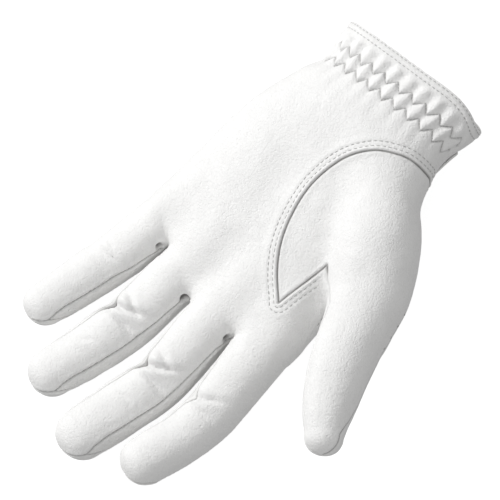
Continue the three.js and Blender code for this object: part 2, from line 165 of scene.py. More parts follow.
# Elastic band: its far edge from the cuff's, its lowest z, and its ends in x.
BAND_EDGE, BAND_LOW, BAND_START, BAND_END = 23.0, 21.0, 3.0, 67.0


# ------------------------------------------------------------------ Curves and fields

def spline(points, count):
    """Points on a smooth curve through the given rows."""
    rows = np.asarray(points, float)
    padded = np.vstack([2 * rows[0] - rows[1], rows, 2 * rows[-1] - rows[-2]])
    place = np.linspace(0, len(rows) - 1, count)
    i = np.minimum(place.astype(int), len(rows) - 2)
    t = (place - i)[:, None]
    a, b, c, d = (padded[i + k] for k in range(4))
    return 0.5 * (2 * b + (c - a) * t + (2 * a - 5 * b + 4 * c - d) * t**2 + (3 * b - a - 3 * c + d) * t**3)


def smooth_step(low, high, value):
    t = np.clip((value - low) / (high - low), 0, 1)
    return t * t * (3 - 2 * t)


def bell(value, width):
    return np.exp(-((value / width) ** 2))


def soft_minimum(a, b, reach):
    h = np.maximum(reach - np.abs(a - b), 0) / reach
    return np.minimum(a, b) - h * h * reach / 4


def outline_distance(x, y, outline, closed=True):
    """Distance to an outline in plan. For a closed one it is positive inside and negative outside."""
    rows = np.asarray(outline, float)
    starts = rows if closed else rows[:-1]
    ends = np.roll(rows, -1, axis=0) if closed else rows[1:]
    nearest = np.full(x.shape, np.inf)
    inside = np.zeros(x.shape, bool)
    for (x0, y0), (x1, y1) in zip(starts, ends):
        dx, dy = x1 - x0, y1 - y0
        t = np.clip(((x - x0) * dx + (y - y0) * dy) / (dx * dx + dy * dy), 0, 1)
        nearest = np.minimum(nearest, np.hypot(x - x0 - t * dx, y - y0 - t * dy))
        if closed and dy:
            inside ^= ((y0 > y) != (y1 > y)) & (x < x0 + (y - y0) * dx / dy)
    return np.where(inside, nearest, -nearest) if closed else nearest


def noise(points, size, seed):
    """Smooth value noise between -1 and 1, with cells of the given size."""
    rng = np.random.default_rng(seed)
    table = rng.uniform(-1, 1, (32, 32, 32))
    scaled = points / size
    cell = np.floor(scaled).astype(int)
    t = scaled - cell
    t = t * t * (3 - 2 * t)
    total = 0
    for corner in np.ndindex(2, 2, 2):
        weight = np.prod(np.where(corner, t, 1 - t), axis=1)
        i, j, k = ((cell + corner) % 32).T
        total = total + weight * table[i, j, k]
    return total


def unit(vectors):
    return vectors / np.maximum(np.linalg.norm(vectors, axis=1), 1e-12)[:, None]


def rounded_distance(roundness, offsets, half_sizes):
    """Level (1 on a rounded solid's surface, less inside) and rough signed distance, from its centre."""
    level = sum(np.abs(offset / half) ** roundness for offset, half in zip(offsets, half_sizes))
    level = level ** (1 / roundness)
    radius = np.sqrt(sum(offset**2 for offset in offsets))
    return level, radius * (1 - 1 / np.maximum(level, 1e-4))


class Digit:
    """A finger or thumb: a centre line with frames and half sizes, and a point's place on it."""

    SAMPLES = 600

    def __init__(self, stations):
        self.table = spline(stations, self.SAMPLES)
        slope = np.gradient(self.table[:, :3], np.linspace(0, 1, self.SAMPLES), axis=0)
        self.speed = np.linalg.norm(slope, axis=1)
        self.tangents = slope / self.speed[:, None]
        self.ups = unit(np.array([0, 0, 1.0]) - self.tangents * self.tangents[:, 2:3])
        self.sides = np.cross(self.ups, self.tangents)

    def sample(self, rows, place):
        at = np.clip(place, 0, 1) * (self.SAMPLES - 1)
        i = np.minimum(at.astype(int), self.SAMPLES - 2)
        t = (at - i).reshape(-1, *[1] * (rows.ndim - 1))
        return rows[i] * (1 - t) + rows[i + 1] * t

    def locate(self, points):
        """Place along the digit, offsets to the side, up and past its end, half width, level, distance.

        The place starts from the nearest of some coarse samples and is stepped to the nearest point.
        """
        every = 20
        coarse = self.table[::every, :3]
        gaps = ((points[:, None, :] - coarse[None]) ** 2).sum(axis=2)
        place = gaps.argmin(axis=1) * every / (self.SAMPLES - 1)
        for _ in range(4):
            offset = points - self.sample(self.table[:, :3], place)
            step = (offset * self.sample(self.tangents, place)).sum(axis=1) / self.sample(self.speed, place)
            place = np.clip(place + step, 0, 1)
        offset = points - self.sample(self.table[:, :3], place)
        offsets = [(offset * self.sample(axes, place)).sum(axis=1)
                   for axes in (self.sides, self.ups, self.tangents)]
        half_width, half_height = self.sample(self.table[:, 3:5], place).T
        level, distance = rounded_distance(DIGIT_ROUNDNESS, offsets, (half_width, half_height, half_width))
        return place, *offsets, half_width, level, distance

    def frame_at(self, place):
        """The centre line's point and direction at a place along the digit."""
        at = np.array([place])
        return self.sample(self.table[:, :3], at)[0], self.sample(self.tangents, at)[0]

    def centre_x(self, y):
        return np.interp(y, self.table[:, 1], self.table[:, 0])


digits = {name: Digit(stations) for name, stations in FINGERS.items()}
digits["thumb"] = Digit(THUMB)
hand_table = spline(HAND_SECTIONS, 500)


def hand_distance(points):
    """Rough signed distance to the hand's part of the glove, without its fingers."""
    x, y, z = points.T
    centre_x, centre_z, half_width, half_height = (
        np.interp(y, hand_table[:, 0], hand_table[:, column]) for column in range(1, 5))
    web = 7.0       # length over which the hand rounds off between the fingers
    past = np.maximum(y - np.interp(x, WEB_REACH[:, 0], WEB_REACH[:, 1]) + web, 0)
    offsets = (x - centre_x, z - centre_z, past)
    return rounded_distance(HAND_ROUNDNESS, offsets, (half_width, half_height, web))[1]


def glove_distance(points):
    """Signed distance to the filled glove's outer surface, near that surface.

    A digit is only worked out at points that it can reach.
    """
    x, y, _ = points.T
    fingers = np.full(len(points), FAR)
    for name in FINGERS:
        digit = digits[name]
        near = (np.abs(x - digit.centre_x(y)) < 26) & (y > digit.table[0, 1] - 20)
        if near.any():
            distance = np.full(len(points), FAR)
            distance[near] = digit.locate(points[near])[-1]
            fingers = soft_minimum(fingers, distance, 1.6)
    thumb = np.full(len(points), FAR)
    near = (x < 36) & (y > -102) & (y < 46)
    if near.any():
        thumb[near] = digits["thumb"].locate(points[near])[-1]
    body = soft_minimum(hand_distance(points), fingers, 5.0)
    from_crotch = np.linalg.norm(points - THUMB_CROTCH, axis=1)
    return soft_minimum(body, thumb, 7.0 - 4.5 * bell(from_crotch, 13.0))


def gradient(points, step=0.15):
    """Slope of the glove's distance, which points out of its surface."""
    shifts = np.eye(3) * step
    return np.stack([(glove_distance(points + shift) - glove_distance(points - shift)) / (2 * step)
                     for shift in shifts], axis=1)


def settle(points, rounds):
    """Moves points that are near the surface onto it."""
    for _ in range(rounds):
        slope = gradient(points)
        points = points - slope * (glove_distance(points) / (slope**2).sum(axis=1))[:, None]
    return points


# ------------------------------------------------------------------ Meshing

GRID_LOW = np.array([-84.0, -121.0, -4.0])
GRID_SIZE = np.array([168.0, 238.0, 56.0])


def glove_surface():
    """Vertices, triangles and unit normals of the glove's outer surface.

    Distances are worked out on a coarse grid, and again on the fine one where the surface is near.
    """
    coarse_step = 4
    counts = (np.ceil(GRID_SIZE / VOXEL / coarse_step).astype(int)) * coarse_step
    coarse_axes = [low + VOXEL * coarse_step * np.arange(count // coarse_step + 1)
                   for low, count in zip(GRID_LOW, counts)]
    coarse = np.stack(np.meshgrid(*coarse_axes, indexing="ij"), axis=-1)
    fine = glove_distance(coarse.reshape(-1, 3)).reshape(coarse.shape[:3])
    for axis in range(3):
        fine = np.repeat(fine, coarse_step, axis=axis)
    fine = fine[:counts[0] + 1, :counts[1] + 1, :counts[2] + 1]
    band = np.abs(fine) < VOXEL * coarse_step * 1.9
    index = np.argwhere(band)
    most = 9.0
    fine = np.clip(fine, -most, most)
    fine[band] = glove_distance(GRID_LOW + index * VOXEL)
    grid = openvdb.FloatGrid(most + 1)
    grid.copyFromArray(np.ascontiguousarray(fine, dtype=np.float64))
    points, quads = grid.convertToQuads(0.0)
    points = settle(GRID_LOW + np.asarray(points, float) * VOXEL, 2)
    normals = unit(gradient(points))
    triangles = split_quads(points, np.asarray(quads).astype(np.int64))
    facing = (face_vectors(points, triangles) * normals[triangles[:, 0]]).sum()
    if facing < 0:
        triangles = triangles[:, ::-1]
    return points, triangles, normals


def split_quads(points, quads):
    """Each quad as two triangles along its shorter diagonal."""
    first = np.linalg.norm(points[quads[:, 0]] - points[quads[:, 2]], axis=1)
    second = np.linalg.norm(points[quads[:, 1]] - points[quads[:, 3]], axis=1)
    along = (first <= second)[:, None]
    one = np.where(along, quads[:, [0, 1, 2]], quads[:, [0, 1, 3]])
    two = np.where(along, quads[:, [0, 2, 3]], quads[:, [1, 2, 3]])
    return np.vstack([one, two])


def face_vectors(points, triangles):
    """Each triangle's normal, as long as twice its area."""
    a, b, c = (points[triangles[:, k]] for k in range(3))
    return np.cross(b - a, c - a)


def vertex_normals(points, triangles):
    face = face_vectors(points, triangles)
    normals = np.zeros_like(points)
    for k in range(3):
        np.add.at(normals, triangles[:, k], face)
    return unit(normals)


def triangle_edges(triangles):
    return np.vstack([triangles[:, [0, 1]], triangles[:, [1, 2]], triangles[:, [2, 0]]])


def unique_edges(edges):
    """The distinct edges as sorted pairs, and each given edge's number among them."""
    keys, inverse = np.unique(np.sort(edges, axis=1), axis=0, return_inverse=True)
    return keys, inverse.reshape(-1)


def turned_to(rows, first):
    """Rows of three, each turned so that its given column comes first."""
    return np.take_along_axis(rows, (first[:, None] + np.arange(3)) % 3, axis=1)


class Surface:
    """Triangles with per-vertex columns and per-triangle tags."""

    def __init__(self, columns, triangles):
        self.columns = columns
        self.triangles = triangles
        self.tags = np.zeros(len(triangles), int)

    def cut(self, name):
        """Splits the triangles that a column's zero line crosses. Returns which are on the positive side."""
        field = self.columns[name]
        place = self.columns["place"]
        size = np.linalg.norm(place[self.triangles[:, 0]] - place[self.triangles[:, 1]], axis=1).mean()
        on_line = 0.09 * size       # a vertex this close is taken to lie on the line
        sign = np.where(np.abs(field) < on_line, 0, np.sign(field)).astype(int)
        corners = sign[self.triangles]
        crossing = (corners.min(axis=1) < 0) & (corners.max(axis=1) > 0)
        s = corners[crossing]
        has_zero = (s == 0).any(axis=1)
        odd_one = np.where(has_zero, 0, -np.sign(s.sum(axis=1)))
        turned = turned_to(self.triangles[crossing], (s == odd_one[:, None]).argmax(axis=1))
        plain, with_zero = turned[~has_zero], turned[has_zero]
        keys, inverse = unique_edges(np.vstack([plain[:, [0, 1]], plain[:, [0, 2]], with_zero[:, [1, 2]]]))
        a, b = keys[:, 0], keys[:, 1]
        t = field[a] / (field[a] - field[b])
        fresh = len(field) + inverse
        for key, column in self.columns.items():
            weight = t if column.ndim == 1 else t[:, None]
            self.columns[key] = np.concatenate([column, column[a] * (1 - weight) + column[b] * weight])
        n = len(plain)
        p, q, r = fresh[:n], fresh[n:2 * n], fresh[2 * n:]
        o, c, d = plain.T
        z, e, f = with_zero.T
        corners_of_parts = [(o, p, q), (p, c, d), (p, d, q), (z, e, r), (z, r, f)]
        tags = self.tags[crossing]
        plain_tags, zero_tags = tags[~has_zero], tags[has_zero]
        self.triangles = np.vstack([self.triangles[~crossing]]
                                   + [np.stack(part, axis=1) for part in corners_of_parts])
        self.tags = np.concatenate([self.tags[~crossing], *[plain_tags] * 3, *[zero_tags] * 2])
        sign = np.concatenate([sign, np.zeros(len(keys), int)])
        return sign[self.triangles].sum(axis=1) > 0

    def keep(self, chosen):
        self.triangles = self.triangles[chosen]
        self.tags = self.tags[chosen]


# ------------------------------------------------------------------ Seams, folds and other fields

# A field is a value in millimetres at each point of the leather:
# start, middle     how far past the planes where a finger's lower and upper pieces begin
# palm_radial ...   how far inside that seam of a finger; seam is the distance to its nearest seam
# along, round      place on a finger, from its middle joint and from the middle of its palm side
# thumb_tip         how far past the plane where the thumb's upper pieces begin
# thumb_outer ...   how far in front of the thumb's seams; thumb_outer_seam and so on are distances
# mouth, cuff       distance from the cuff's edge, and from a straighter line that the elastic follows
# panel, hidden     how far inside the thumb panel, and the distance from the hidden part of its seam
# side, slit        height above the side seam, and how far inside the slit
# Two are not lengths: finger is its number, or -1, and thumb_place is a part of the thumb's length.

palm_outline = np.vstack([spline(THUMB_ARC, 60), THUMB_NOTCH, THUMB_HIDDEN])
back_outline = np.array(THUMB_BEHIND, float)
mouth_line = spline(MOUTH, 80)
cuff_line = np.array([[-40, -113.5]] + MOUTH[2:], float)


def rounded_box(x, y, start, end, low, high, corner):
    """Signed distance, positive inside, to a rectangle with rounded corners."""
    dx = np.abs(x - (start + end) / 2) - (end - start) / 2 + corner
    dy = np.abs(y - (low + high) / 2) - (high - low) / 2 + corner
    outside = np.hypot(np.maximum(dx, 0), np.maximum(dy, 0))
    return corner - outside - np.minimum(np.maximum(dx, dy), 0)


def slit_box(x, y):
    """The slit in the back, round at its end and running out past the cuff."""
    half = SLIT_WIDTH / 2
    return rounded_box(x, y, SLIT_X - half, SLIT_X + half, -140, SLIT_END, half - 0.01)


def wrist_section():
    """Angles round the wrist's section, and the distance along it from the middle of the palm side."""
    half_width, half_height = WRIST_HALF_SIZES
    turns = np.linspace(-np.pi, np.pi, 721)
    power = 2 / HAND_ROUNDNESS
    ring_x = half_width * np.sign(np.sin(turns)) * np.abs(np.sin(turns)) ** power
    ring_z = half_height * np.sign(np.cos(turns)) * np.abs(np.cos(turns)) ** power
    lengths = np.concatenate([[0], np.cumsum(np.hypot(np.diff(ring_x), np.diff(ring_z)))])
    return np.unwrap(np.arctan2(ring_x / half_width, ring_z / half_height)), lengths - lengths[360]


wrist_turns, wrist_lengths = wrist_section()


def wrist_place(points):
    """Distance round the wrist from the middle of the palm side, and the half turn it lies on."""
    x, y, z = points.T
    half_width, half_height = WRIST_HALF_SIZES
    centre_x, centre_z = (np.interp(y, hand_table[:, 0], hand_table[:, c]) for c in (1, 2))
    turn = np.arctan2((x - centre_x) / half_width, (z - centre_z) / half_height)
    return np.interp(turn, wrist_turns, wrist_lengths), turn


def side_seam_height(x):
    """Height of the seam between the palm and the back: between the fingers, and lower at both edges."""
    return 14.4 - 5.0 * smooth_step(-10, -19, x) - 6.0 * smooth_step(64, 72, x)


def finger_fields(points):
    """Fields about each point's nearest finger."""
    count = len(points)
    nearest = np.full(count, 4.0)       # the lowest level so far
    fields = {key: np.full(count, -FAR) for key in ("start", "middle", *SEAM_ANGLES)}
    fields.update({key: np.full(count, FAR) for key in ("seam", "along", "round")})
    fields["finger"] = np.full(count, -1.0)
    for number, name in enumerate(FINGERS):
        digit = digits[name]
        near = (np.abs(points[:, 0] - digit.centre_x(points[:, 1])) < 24) & (points[:, 1] > 8)
        if not near.any():
            continue
        located = digit.locate(points[near])
        closer = located[5] < nearest[near]
        chosen = np.flatnonzero(near)[closer]
        place, side, up, past, half_width, level, _ = (values[closer] for values in located)
        nearest[chosen] = level
        stop = place + np.maximum(past, 0) / half_width * 0.6
        radius = np.hypot(side, up)
        angle = np.arctan2(side, up)
        wrapped_side, wrap_angles = WRAPS.get(name, (None, None))
        seam = np.full(len(chosen), FAR)
        for key, angles in SEAM_ANGLES.items():
            panel, side_name = key.split("_")
            stops = SEAM_STOPS
            if side_name == wrapped_side:
                stops, angles = WRAP_STOPS, wrap_angles
            away = np.radians(np.interp(stop, stops, angles)) - (angle if side_name == "radial" else -angle)
            value = radius * np.sin(away)
            fields[key][chosen] = value if panel == "palm" else -value
            seam = np.minimum(seam, np.where(np.cos(away) > 0, np.abs(value), FAR))
        fields["seam"][chosen] = seam
        for key, at in (("start", START[name]), ("middle", (BASE + MIDDLE) / 2)):
            centre, tangent = digit.frame_at(at)
            fields[key][chosen] = (points[chosen] - centre) @ tangent
        fields["along"][chosen] = (place - MIDDLE) * digit.sample(digit.speed, place) + past
        fields["round"][chosen] = angle * radius
        fields["finger"][chosen] = number
    return fields


def thumb_fields(points):
    """Fields about the thumb."""
    digit = digits["thumb"]
    place, side, up, past, half_width, level, _ = digit.locate(points)
    on_thumb = (level < 1.6) & (points[:, 0] < -8)
    stop = place + np.maximum(past, 0) / half_width * 0.4
    radius = np.hypot(side, up)
    angle = np.arctan2(side, up)
    fields = {}
    for key, angles, turned in (("outer", THUMB_OUTER, angle), ("inner", THUMB_INNER, -angle)):
        away = np.radians(np.interp(stop, THUMB_STOPS, angles)) - turned
        front = radius * np.sin(away)
        fields[f"thumb_{key}"] = np.where(on_thumb, front, FAR)
        fields[f"thumb_{key}_seam"] = np.where(on_thumb & (np.cos(away) > 0), np.abs(front), FAR)
    centre, tangent = digit.frame_at(THUMB_JOINT)
    fields["thumb_tip"] = np.where(on_thumb, (points - centre) @ tangent + THUMB_TIP_BELOW, -FAR)
    fields["thumb_place"] = np.where(on_thumb, place, -1.0)
    return fields


def hand_fields(points):
    """Fields about the cuff, the thumb panel, the side seam and the slit."""
    x, y, z = points.T
    fields = {}
    inside = np.where(y > np.interp(x, mouth_line[:, 0], mouth_line[:, 1]), 1.0, -1.0)
    wide = 60.0       # the cuff's fields reach further than the others
    mouth = wide * inside
    near = y < WRIST_TOP
    mouth[near] = inside[near] * outline_distance(x[near], y[near], mouth_line, closed=False)
    fields["mouth"] = mouth
    fields["cuff"] = np.where(near, outline_distance(x, y, cuff_line, closed=False), wide)
    over = outline_distance(x, y, palm_outline)
    under = outline_distance(x, y, back_outline)
    top = 22.0
    blend = smooth_step(12, top, z)
    fields["panel"] = np.where(z > top, over, over * blend + under * (1 - blend))
    fields["hidden"] = outline_distance(x, y, np.array(THUMB_HIDDEN[:4], float), closed=False)
    fields["side"] = z - side_seam_height(x)
    fields["slit"] = np.where(z < BACK_TOP, slit_box(x, y), -FAR)
    return fields


def all_fields(points):
    fields = finger_fields(points)
    fields.update(thumb_fields(points))
    fields.update(hand_fields(points))
    return fields


# ------------------------------------------------------------------ Relief of the leather

web_holes = settle(WEB_HOLES, 3)


def groove(distance, depth, width):
    """A seam: a narrow valley between two softly raised edges."""
    away = np.abs(distance)
    return depth * (0.42 * bell(away - 3.2 * width, 2.0 * width) - np.exp(-away / width))


def hole(points, centre, radius):
    """1 inside a small round pit and 0 outside it, with a soft edge."""
    return np.exp(-(np.linalg.norm(points - centre, axis=1) / radius) ** 3)


def zigzag_offset(place, row):
    """Height of a zigzag row over its centre line, at a distance round the wrist."""
    phase = (place / ZIGZAG_PITCH - ZIGZAG_SHIFT * row) % 1.0
    return ZIGZAG_HEIGHT * (np.abs(phase * 2 - 1) - 0.5)


def cuff_relief(points, mouth, cuff):
    """Rolled edge, stitch rows, the two zigzag rows over the elastic, and the gathers they pull."""
    place, turn = wrist_place(points)
    palm_side = smooth_step(math.radians(98), math.radians(82), np.abs(turn))
    relief = -0.6 * (1 - np.sqrt(np.clip(1 - (1 - np.clip(mouth / 1.3, 0, 1)) ** 2, 0, 1)))
    for row in HEM_ROWS:
        relief -= 0.26 * bell(mouth - row, 0.5)
    relief += 0.22 * bell(mouth - 2.1, 0.8)
    near_hem, near_palm = ZIGZAG_ROWS
    slant = math.hypot(1, 2 * ZIGZAG_HEIGHT / ZIGZAG_PITCH)
    wobble = noise(points, 5.0, 11)
    turns = 2 * np.pi * place / ZIGZAG_PITCH + 0.5 * wobble
    late = turns - 2 * np.pi * ZIGZAG_SHIFT
    below = (cuff - near_hem - zigzag_offset(place, 0)) / slant
    above = (cuff - near_palm - zigzag_offset(place, 1)) / slant
    between = np.clip((near_palm - cuff) / (near_palm - near_hem), 0, 1)

    def rising(distance):
        return np.tanh(distance.clip(0) / 0.8)

    pillow = 0.35 + 0.65 * np.cos(late - 2 * np.pi * (0.5 - ZIGZAG_SHIFT) * between)
    pillow *= rising(np.minimum(below, -above))
    gathers = (0.2 + 0.8 * np.cos(turns)) * rising(-below) * smooth_step(3.8, 7.0, mouth)
    fade = smooth_step(34.0, 22.0, cuff) * rising(above)
    pulls = -np.cos(late) * fade * (0.55 * bell(above, 1.6) + 0.3 + 0.15 * wobble)
    elastic = 1.05 * pillow + (0.9 + 0.2 * wobble) * gathers + 0.5 * pulls
    for away in (below, above):
        elastic -= 0.6 * np.exp(-np.abs(away) / 0.36)
    elastic -= 0.8 * bell(cuff - (near_hem + near_palm) / 2, 8.5)
    return relief + palm_side * elastic


def crease(along, around, at, slope, centre, half_length, depth, width):
    """One pinched line across a finger's palm side, with the leather puffed up beside it."""
    away = (along - at - slope * (around - centre)) / math.hypot(1, slope)
    envelope = bell(around - centre, half_length)
    return envelope * (-depth * np.exp(-(np.abs(away) / width) ** 1.3)
                       + 0.4 * depth * bell(np.abs(away) - 2.6 * width, 1.7 * width))


# Creases at a finger's middle joint: place along, slope, middle and half length round the finger,
# depth and width.
CREASES = [(-4.8, -0.57, 0.0, 6.2, 2.0, 1.25), (-8.8, 0.28, 0.5, 5.0, 1.3, 1.15),
           (2.4, -0.09, 2.5, 5.8, 1.7, 0.9), (17.5, -0.6, 0.0, 3.5, 0.45, 0.9)]
CREASE_STRENGTHS = {"index": 0.4, "middle": 1.0, "ring": 1.0, "little": 0.22}


def finger_creases(fields):
    """Puffs and folds across the palm side of each finger's middle joint, with finer folds beyond."""
    along, around, finger = fields["along"], fields["round"], fields["finger"]
    relief = np.zeros(len(along))
    for number, name in enumerate(FINGERS):
        mine = (finger == number) & (np.abs(along) < 30)
        a, r = along[mine], around[mine]
        rng = np.random.default_rng(40 + number)
        total = 0.8 * bell(a - 8, 5.0) * bell(r + 2, 7) + 1.4 * bell(a + 6.5, 3.4) * bell(r + 4, 4.2)
        total -= 1.2 * bell(a + 1.0, 4.5) * bell(r - 5, 5.5) + 2.4 * bell(a, 5.0) * bell(r + 12.5, 4.5)
        for at, slope, centre, half_length, depth, width in CREASES:
            total += crease(a, r, at + rng.uniform(-0.6, 0.6), slope * rng.uniform(0.8, 1.2), centre,
                            half_length, depth, width)
        for at in (-15.0, 13.0):
            total += crease(a, r, at + rng.uniform(-1.5, 1.5), rng.uniform(-0.7, 0.7), rng.uniform(-6, 8),
                            rng.uniform(2.5, 4.5), rng.uniform(0.12, 0.25), rng.uniform(0.7, 1.1))
        relief[mine] = CREASE_STRENGTHS[name] * total
    return relief


def visible_seams(fields):
    """Whether points are on a finger, distances to the thumb panel's seam and the side seam, and how open
    the panel's seam is, since it closes up where the thumb hides it."""
    on_finger = fields["start"] > -2
    panel = np.where((fields["thumb_tip"] < 0) & ~on_finger, fields["panel"], FAR)
    side = np.where(panel < 0, np.abs(fields["side"]), FAR)
    return on_finger, panel, side, smooth_step(1.0, 6.0, fields["hidden"])


def leather_relief(points, fields):
    """How far each point of the leather stands out from the smooth surface, or below 0 how far it sinks."""
    x, y, z = points.T
    on_finger, panel, side, open_seam = visible_seams(fields)
    mouth = fields["mouth"]
    relief = 0.3 * noise(points, 17.0, 3) + 0.13 * noise(points, 6.5, 4) + 0.05 * noise(points, 2.6, 5)
    tick = 1 + 0.15 * np.sin(2 * np.pi * fields["along"] / SEAM_TICK)
    relief += np.where(on_finger, groove(fields["seam"], 0.6, SEAM_WIDTH) * tick, 0)
    relief += np.where(mouth > 4, groove(panel, 0.75, 0.38), 0) * (0.4 + 0.6 * open_seam)
    raised_strip = smooth_step(0.2, -0.3, panel) * smooth_step(-8.0, -5.2, panel)
    relief += 0.3 * raised_strip * open_seam
    for row in PANEL_ROWS:
        relief -= 0.2 * bell(panel + row, 0.45) * open_seam
    for distance, depth, shown in (
            (side, 0.55, smooth_step(1.0, 4.0, mouth)),
            (fields["thumb_outer_seam"], 0.5, smooth_step(0.22, 0.3, fields["thumb_place"])),
            (fields["thumb_inner_seam"], 0.5, smooth_step(-1.5, 1.5, fields["thumb_tip"]))):
        relief += groove(distance, depth, SEAM_WIDTH) * shown
    relief += finger_creases(fields)
    wrist = (y < WRIST_TOP) & ~on_finger
    relief[wrist] += cuff_relief(points[wrist], mouth[wrist], fields["cuff"][wrist])
    palm_hollow = outline_distance(x, y, np.array(PALM_HOLLOW, float), closed=False)
    relief -= 1.3 * smooth_step(16, 24, z) * bell(palm_hollow, 10.0)
    for centre, depth, reach in ((THUMB_CROTCH, 2.4, 9.0), (BELOW_NOTCH, 1.5, 6.5)):
        relief -= depth * bell(np.linalg.norm(points - centre, axis=1), reach)
    for centre in web_holes:
        relief -= 2.6 * hole(points, centre, 1.7)
    return relief


# ------------------------------------------------------------------ Cutting into the sewn pieces

# Fields that the pieces are divided along, each with its bit in a triangle's tag.
BORDERS = ["start", "middle", "palm_radial", "palm_ulnar", "back_radial", "back_ulnar",
           "thumb_tip", "thumb_outer", "thumb_inner", "panel", "side"]
BIT = {name: 1 << number for number, name in enumerate(BORDERS)}


def divide(surface):
    """Cuts along every border and tags each triangle with the sides it lies on."""
    for name in BORDERS:
        positive = surface.cut(name)
        surface.tags = np.where(positive, surface.tags | BIT[name], surface.tags)


def pieces_of(surface):
    """Boolean masks of the triangles of each piece of leather."""
    tags = surface.tags
    has = {name: (tags & BIT[name]) > 0 for name in BORDERS}
    finger = surface.columns["finger"][surface.triangles].max(axis=1)
    centre = surface.columns["place"][surface.triangles].mean(axis=1)
    pieces = {}
    palm = has["palm_radial"] & has["palm_ulnar"]
    back = has["back_radial"] & has["back_ulnar"] & ~palm
    for number, name in enumerate(FINGERS):
        mine = has["start"] & (finger == number)
        radial = ~palm & ~back & (centre[:, 0] < digits[name].centre_x(centre[:, 1]))
        ulnar = ~palm & ~back & ~radial
        strips = {"palm": palm, "radial_fourchette": radial, "back": back, "ulnar_fourchette": ulnar}
        if name in WRAPS:
            strips["back"] = back | strips.pop(WRAPS[name][0] + "_fourchette")
        for half, chosen in (("lower", ~has["middle"]), ("upper", has["middle"])):
            for strip, part in strips.items():
                pieces[f"{name}_{half}_{strip}"] = mine & chosen & part
    front = has["thumb_outer"] & has["thumb_inner"]
    tip = ~has["start"] & has["thumb_tip"]
    rest = ~has["start"] & ~has["thumb_tip"]
    pieces["thumb_tip_front"] = tip & front
    pieces["thumb_tip_back"] = tip & ~front
    pieces["thumb_panel"] = rest & has["panel"]
    pieces["palm_panel"] = rest & ~has["panel"] & has["side"]
    pieces["back_panel"] = rest & ~has["panel"] & ~has["side"]
    return pieces


def refine(surface, flagged):
    """Splits every edge whose two ends are both flagged, so that fine relief has vertices to use."""
    triangles = surface.triangles
    keys, inverse = unique_edges(triangle_edges(triangles))
    split = flagged[keys[:, 0]] & flagged[keys[:, 1]]
    fresh = np.full(len(keys), -1)
    fresh[split] = len(flagged) + np.arange(split.sum())
    a, b = keys[split].T
    for key, column in surface.columns.items():
        surface.columns[key] = np.concatenate([column, (column[a] + column[b]) / 2])
    middle = fresh[inverse].reshape(3, -1).T
    marks = (middle >= 0).sum(axis=1)
    made, tags = [triangles[marks == 0]], [surface.tags[marks == 0]]
    for count in (1, 2, 3):
        rows = marks == count
        mid = middle[rows]
        if count == 2:
            first = ((mid < 0).argmax(axis=1) + 1) % 3
        else:
            first = (mid >= 0).argmax(axis=1)
        p, q, r = turned_to(triangles[rows], first).T
        u, v, w = turned_to(mid, first).T
        parts = {1: [(p, u, r), (u, q, r)], 2: [(u, q, v), (p, u, v), (p, v, r)],
                 3: [(p, u, w), (u, q, v), (w, v, r), (u, v, w)]}[count]
        made += [np.stack(part, axis=1) for part in parts]
        tags += [surface.tags[rows]] * len(parts)
    surface.triangles = np.vstack(made)
    surface.tags = np.concatenate(tags)


def fine_zone(fields, points):
    """Where the relief is finer than the mesh: the cuff, the seams and the stitch rows."""
    zone = (fields["mouth"] < 27) & (points[:, 1] < WRIST_TOP)
    on_finger = fields["start"] > -2
    zone |= on_finger & (fields["seam"] < 1.7)
    zone |= ~on_finger & (np.abs(fields["panel"] + 2) < 3.6) & (fields["thumb_tip"] < 2)
    zone |= fields["thumb_outer_seam"] < 1.5
    return zone


# ------------------------------------------------------------------ Blender meshes

def new_object(name, points, triangles, loop_normals=None, shade=None):
    """An object of smooth triangles, from millimetres, with loop normals and a shade attribute."""
    mesh = bpy.data.meshes.new(name)
    mesh.vertices.add(len(points))
    mesh.vertices.foreach_set("co", np.ascontiguousarray((points + CENTRE_SHIFT) * MM, np.float32).ravel())
    count = len(triangles)
    mesh.loops.add(count * 3)
    mesh.loops.foreach_set("vertex_index", np.ascontiguousarray(triangles, np.int32).ravel())
    mesh.polygons.add(count)
    mesh.polygons.foreach_set("loop_start", np.arange(0, count * 3, 3, dtype=np.int32))
    mesh.polygons.foreach_set("use_smooth", np.ones(count, bool))
    mesh.update(calc_edges=True)
    if loop_normals is not None:
        mesh.normals_split_custom_set(loop_normals)
    if shade is not None:
        attribute = mesh.attributes.new("shade", "FLOAT", "POINT")
        attribute.data.foreach_set("value", np.ascontiguousarray(shade, np.float32))
    obj = bpy.data.objects.new(name, mesh)
    bpy.context.collection.objects.link(obj)
    return obj


def leather_shell(name, points, normals, triangles, outer, inner, shade=None):
    """A sheet with thickness: its outer face, its inner face and the rim that joins them."""
    used, compact = np.unique(triangles, return_inverse=True)
    compact = compact.reshape(-1, 3)
    base, direction = points[used], normals[used]
    both = np.vstack([base + direction * np.broadcast_to(offset, len(points))[used][:, None]
                      for offset in (outer, inner)])
    n = len(used)
    edges = triangle_edges(compact)
    codes = edges.min(axis=1) * n + edges.max(axis=1)
    _, first, counts = np.unique(codes, return_index=True, return_counts=True)
    a, b = edges[first[counts == 1]].T
    rim = np.vstack([np.stack([b, a, a + n], axis=1), np.stack([b, a + n, b + n], axis=1)])
    faces = np.vstack([compact, compact[:, ::-1] + n, rim])
    loops = np.vstack([direction[compact.ravel()], -direction[compact[:, ::-1].ravel()],
                       np.repeat(unit(face_vectors(both, rim)), 3, axis=0)])
    shades = None if shade is None else np.concatenate([shade[used], np.zeros(n)])
    return new_object(name, both, faces, loops, shades)


